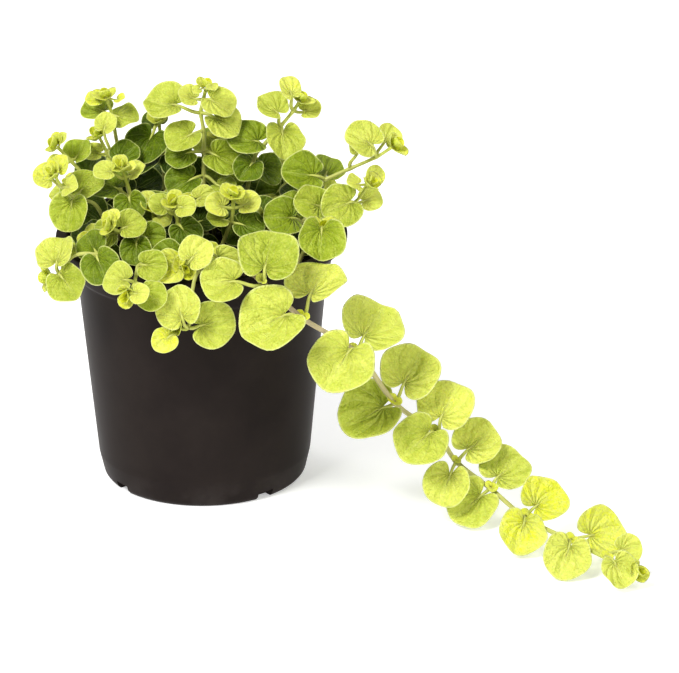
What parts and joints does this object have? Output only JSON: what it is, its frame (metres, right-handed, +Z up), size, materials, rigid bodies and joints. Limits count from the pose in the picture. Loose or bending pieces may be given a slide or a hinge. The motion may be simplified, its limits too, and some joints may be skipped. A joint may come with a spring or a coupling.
{
  "type": "potted creeping jenny",
  "caption": "Golden creeping jenny in a round black nursery pot: a mound of round-leaved stems and a long stem that trails over the rim to the surface.",
  "frame": {"origin": "middle of the pot's flat underside", "axes": "+Z up from the underside to the rim, -Y toward the front the picture was taken from, +X toward the side on which the long stem trails"},
  "size_m": [0.2324, 0.1857, 0.161],
  "materials": {
    "pot_plastic": "satin",
    "potting_mix": "matte",
    "foliage": "satin"
  },
  "bodies": {
    "root": {"pot": "pot_plastic", "potting_mix": "potting_mix", "stem_trailing": "foliage", "stem_front": "foliage", "stem_front_left": "foliage", "stem_left_low": "foliage", "stem_front_low": "foliage", "stem_front_mid": "foliage", "stem_left_front": "foliage", "stem_left_upper": "foliage", "stem_left_back": "foliage", "stem_left_tall": "foliage", "stem_centre_tall": "foliage", "stem_left_rear": "foliage", "stem_right_tall": "foliage", "stem_right_long": "foliage", "stem_right_mid": "foliage", "stem_right_front": "foliage", "stem_centre_front": "foliage", "stem_mid_left": "foliage", "stem_left_inner": "foliage", "stem_back_left": "foliage", "stem_inner_left": "foliage", "stem_inner_mid": "foliage", "stem_inner_right": "foliage", "stem_back_right": "foliage", "stem_centre_back": "foliage", "stem_side_right": "foliage", "stem_side_left": "foliage", "stem_back_mid": "foliage", "stem_back_far": "foliage", "stem_back_corner": "foliage", "stem_back_edge": "foliage", "stem_inner_back": "foliage", "stem_mid_right": "foliage", "stem_left_mid": "foliage"}
  },
  "joints": []
}
